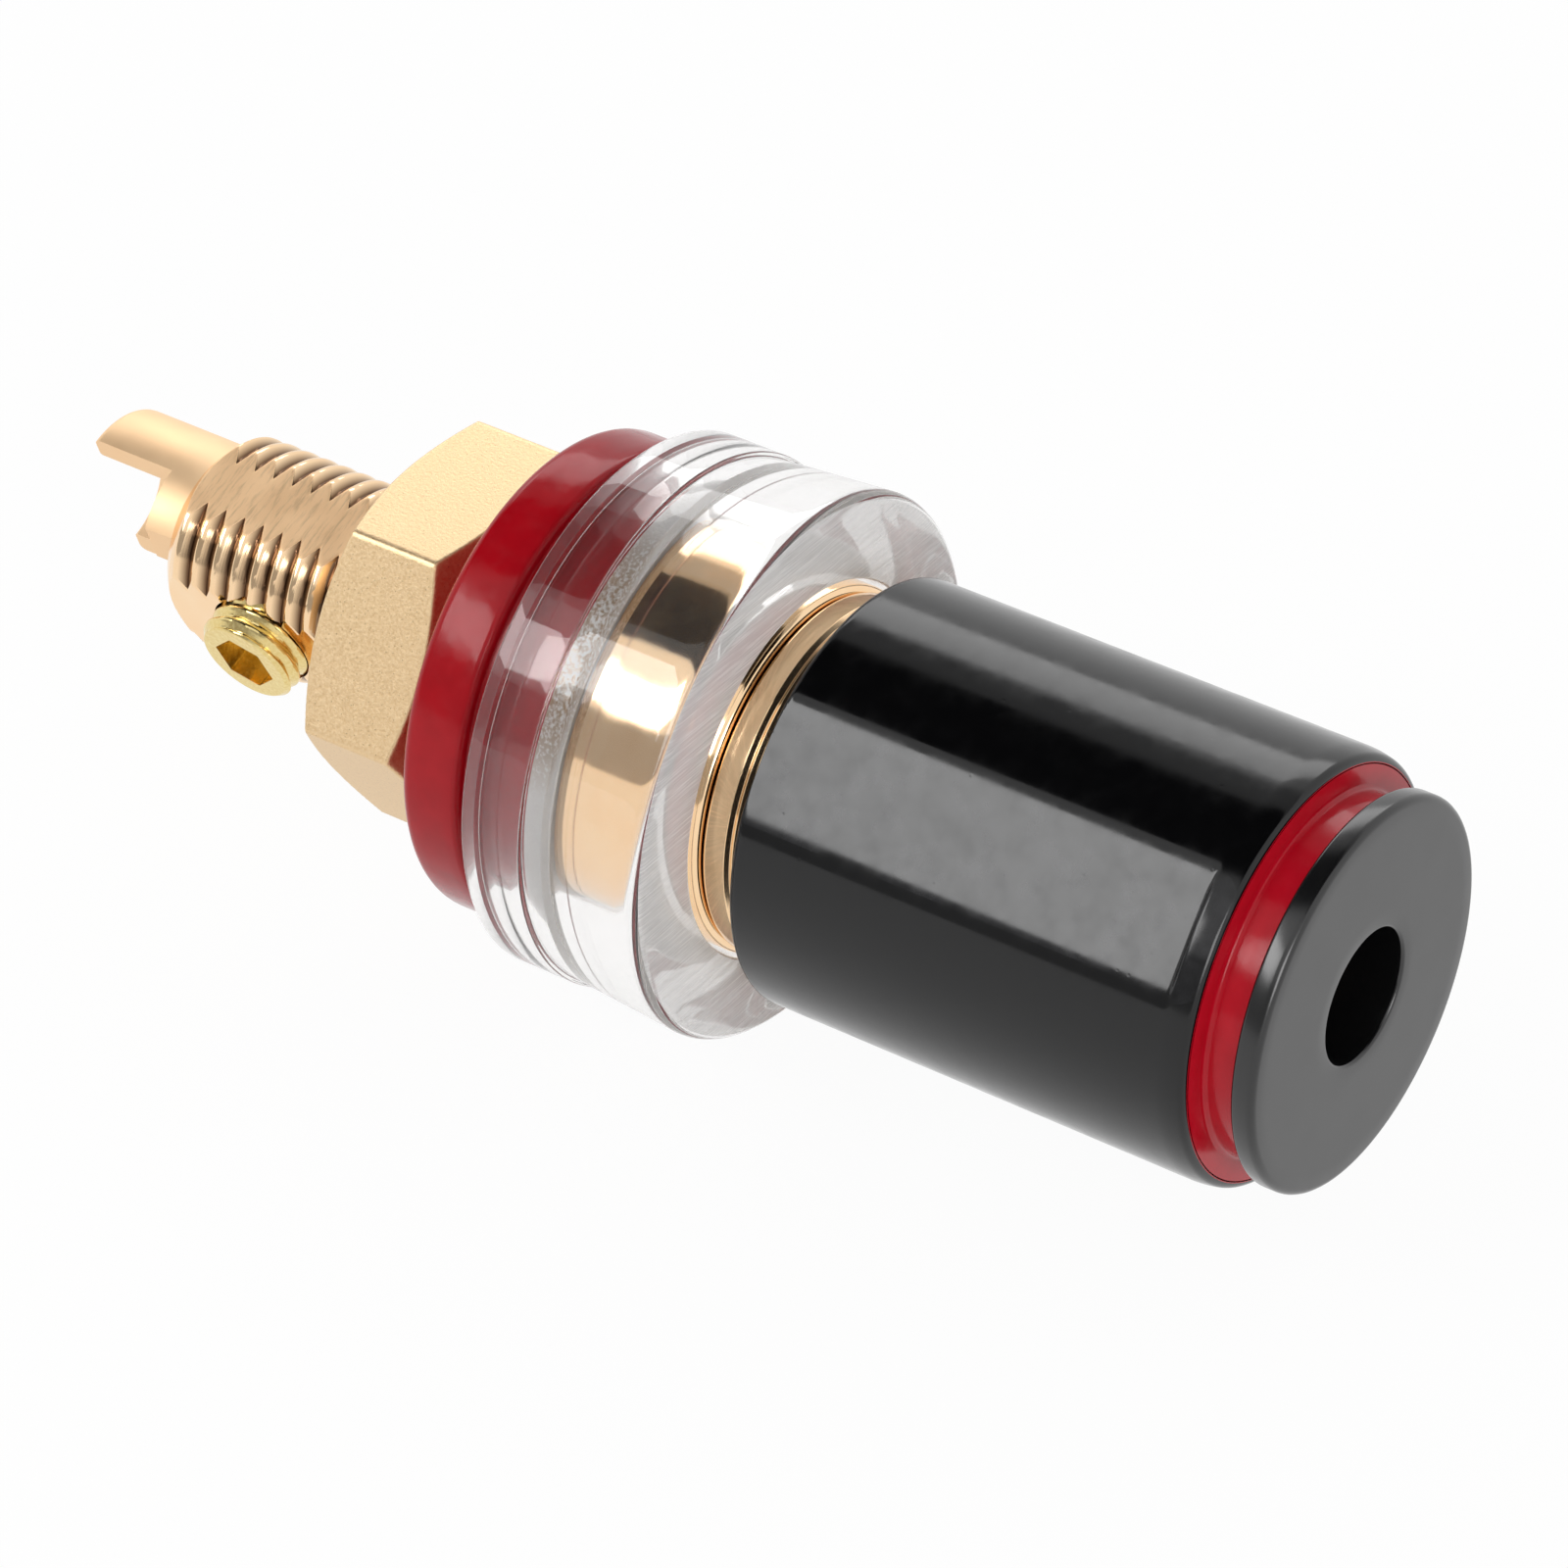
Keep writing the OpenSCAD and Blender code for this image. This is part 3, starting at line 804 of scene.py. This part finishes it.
# %% Knob core
SLEEVE_R, CORE_BORE_R, RIM_LEN, RIM_GROOVE = 5.25, 4.06, 1.65, 0.14
rim_end = CORE_X0 + RIM_LEN
land = RIM_LEN / 6  # the rear half of the rim is plain, and two grooves follow
grooves = []
for i in (3, 4):
    grooves += [(CORE_X0 + i * land, RIM_R, 0.03), (CORE_X0 + (i + 0.5) * land, RIM_R - RIM_GROOVE, 0.03)]
outline = rounded([
    (CORE_X0, CORE_BORE_R, 0), (CORE_X0, RIM_R, 0.15), *grooves, (CORE_X0 + 5 * land, RIM_R, 0.03),
    (rim_end, RIM_R, 0.08), (rim_end, SLEEVE_R, 0), (CORE_X1, SLEEVE_R, 0.1), (CORE_X1, CORE_BORE_R, 0)],
    closed=True)
core = lathe("gold_core", outline, closed=True)
stand_for(core, "knob_core", "core", turned_gold)

# %% Knob shell
FLAT_LIP, SHELL_BORE_R, MOUTH_WALL = 0.9, 5.31, 0.27
MOUTH_R = SHELL_R - MOUTH_WALL
LIP_DROP, LIP_BLEND, FLAT_EDGE = 0.14, 0.22, 0.12
CUT_DEPTH = 0.5  # only rings within this of the outside are cut
SHELL_STEP, SHELL_LONG_STEP = 0.06, 1.2
flat_end = SHELL_X1 - FLAT_LIP


def shell_cut(x, r, angle):
    """Cuts the flats, which fade out before the lip, and lets the lip fall away to the front."""
    left = np.full_like(angle, r)
    if r < SHELL_R - CUT_DEPTH:
        return left
    flat = (SHELL_R - FLAT_DEPTH) / np.cos(off_nearest(angle, FLAT_TURN, FLATS))
    share = np.clip((flat_end - x) / LIP_BLEND + 0.5, 0, 1)
    share = share * share * (3 - 2 * share)
    past = max(0.0, (x - flat_end) / FLAT_LIP)
    return left + (softer(left, flat, FLAT_EDGE) - left) * share - LIP_DROP * past * past


outline = rounded([
    (SHELL_X0, SHELL_BORE_R, 0), (SHELL_X0, SHELL_R, 0.25), (flat_end - LIP_BLEND, SHELL_R, 0),
    (SHELL_X1, SHELL_R, 0.2), (SHELL_X1, MOUTH_R, 0.03),
    (RING_X0, MOUTH_R, 0), (RING_X0, SHELL_BORE_R, 0)], closed=True)
outline = divided(outline, SHELL_STEP, True, coarse=SHELL_LONG_STEP)
shell = lathe("lacquered_shell", outline, closed=True, sides=360, cut=shell_cut, smooth=50)
stand_for(shell, "knob_shell", "knob", lacquer)

# %% Colour ring and front cap
NECK_R, BOSS_R, CAP_HOLE_R, CAP_STEP = 5.85, 4.8, 2.2, 0.5
outline = rounded([
    (RING_X0, BOSS_R, 0), (RING_X0, MOUTH_R, 0), (SHELL_X1, MOUTH_R, 0.06), (SHELL_X1, NECK_R, 0.2),
    (RING_X1, NECK_R, 0), (RING_X1, BOSS_R, 0)], closed=True)
ring = lathe("red_ring", outline, closed=True)
stand_for(ring, "colour_ring", "knob", red_nylon)
outline = rounded([
    (CAP_X0, CAP_HOLE_R, 0), (CAP_X0, BOSS_R, 0), (RING_X1, BOSS_R, 0), (RING_X1, CAP_R, 0.15),
    (CAP_X1, CAP_R, 0.25), (CAP_X1, CAP_HOLE_R, 0.12)], closed=True)
cap = lathe("black_cap", divided(outline, CAP_STEP, True), closed=True)
stand_for(cap, "front_cap", "knob", black_plastic)


# %% [markdown]
# ## Floor, backdrop and light
# The photograph has a pure white ground, so the floor and the world look white to the camera and in
# reflections, but the light that falls on the object comes from soft boxes: a long one behind, one
# at the left, which the knob's flat mirrors, and a small one in front for the collar's scuffed
# face, with the floor's own bounce. The floor keeps a share of real shading, so the object still
# has a soft shadow.

# %% Floor and world
def seen_as_background(tree):
    """1 for rays that show the ground to the eye, straight, mirrored or through the acrylic, else 0."""
    path = add(tree, "LightPath").outputs
    bent = maths(tree, "MAXIMUM", path["Is Glossy Ray"], path["Is Transmission Ray"])
    return maths(tree, "MAXIMUM", path["Is Camera Ray"], bent)


FLOOR_GAP, FLOOR_GLOW = 0.05, 0.95
REACH = 1.5  # half the floor's width, in metres
floor_mesh = bpy.data.meshes.new("floor")
floor_z = cad_box[0][2] - FLOOR_GAP * MM
corners = ((-REACH, -REACH), (REACH, -REACH), (REACH, REACH), (-REACH, REACH))
floor_mesh.from_pydata([(x, y, floor_z) for x, y in corners], [], [(0, 1, 2, 3)])
floor = bpy.data.objects.new("floor", floor_mesh)
bpy.context.scene.collection.objects.link(floor)
paper, tree, _ = new_material("white_paper")
matt = add(tree, "BsdfDiffuse", Color=linear("#f4f4f3"))
glow = add(tree, "Emission", Color=linear("#ffffff"), Strength=1.0)
share = maths(tree, "MULTIPLY", seen_as_background(tree), FLOOR_GLOW)
mix = add(tree, "MixShader", links={0: share, 1: matt.outputs[0], 2: glow.outputs[0]})
surface(tree, mix)
floor_mesh.materials.append(paper)

world = bpy.data.worlds.new("studio")
world.use_nodes = True
bpy.context.scene.world = world
tree = world.node_tree
tree.nodes.clear()
room = add(tree, "Background", Color=linear("#ececec"), Strength=0.68)
white = add(tree, "Background", Color=linear("#ffffff"), Strength=1.0)
mix = add(tree, "MixShader", links={0: seen_as_background(tree), 1: room.outputs[0], 2: white.outputs[0]})
add(tree, "OutputWorld", links={"Surface": mix.outputs[0]})
print("floor at", round(floor_z / MM, 2), "mm")


# %% Soft boxes
EYE_ALONG, EYE_OUT = 0.458, 0.889  # the camera's direction, along the axis and square to it
BOX_DISTANCE = 0.5


def soft_box(name, towards, size, power):
    """An area lamp of that size in metres, in that direction from the object and aimed at it."""
    lamp = bpy.data.lights.new(name, "AREA")
    lamp.shape, lamp.size, lamp.size_y = "RECTANGLE", size[0], size[1]
    lamp.energy = power
    holder = bpy.data.objects.new(name, lamp)
    away = Vector(towards).normalized()
    holder.location = away * BOX_DISTANCE
    holder.rotation_euler = away.to_track_quat("Z", "Y").to_euler()
    bpy.context.scene.collection.objects.link(holder)
    print(f"{name}: {power} W over {size[0]} by {size[1]} m")


def round_axis(degrees):
    """Direction that the camera sees mirrored in the knob: partly back, and turned about the X axis."""
    return Vector(outwards(degrees)) * EYE_OUT - Vector(ALONG) * EYE_ALONG


soft_box("left_box", round_axis(44), (0.30, 0.15), 0.8)
soft_box("back_box", round_axis(140), (0.5, 0.17), 0.55)
soft_box("front_box", (0.8, -0.5, 0.35), (0.2, 0.2), 0.6)


# %% [markdown]
# Black metal and gold look alive only when they mirror something dark as well. Photographers hang
# black card over a table for that, so a bent black card hangs here between the left and the back
# soft box. A grey card beside it softens its edge, and one more hangs low in front, below the left
# box. They show in reflections alone, and take no light from anything.

# %% Cards overhead
def bent_card(name, first, last, tone, radius=0.4, ends=(-0.7, 0.3)):
    """A strip of card bent round the X axis between two angles, seen only in reflections."""
    steps = 12
    turns = np.radians(np.linspace(first, last, steps + 1))
    verts = [(x, -radius * math.cos(t), radius * math.sin(t)) for t in turns for x in ends]
    faces = [(2 * i, 2 * i + 1, 2 * i + 3, 2 * i + 2) for i in range(steps)]
    mesh = bpy.data.meshes.new(name)
    mesh.from_pydata(verts, [], faces)
    card = bpy.data.objects.new(name, mesh)
    bpy.context.scene.collection.objects.link(card)
    material, tree, _ = new_material(name)
    surface(tree, add(tree, "Emission", Color=linear(tone), Strength=1.0))
    mesh.materials.append(material)
    card.visible_camera = card.visible_diffuse = card.visible_shadow = False
    print(f"{name}: from {first} to {last} degrees")


bent_card("black_card", 71, 112, "#161616")
bent_card("grey_card", 112, 127, "#b4b4b4")
bent_card("front_card", 2, 30, "#a8a8a8")


# %% [markdown]
# ## Colour management
# The Standard view transform shows a colour as it was written.

# %% Finish
bpy.context.scene.view_settings.view_transform = "Standard"
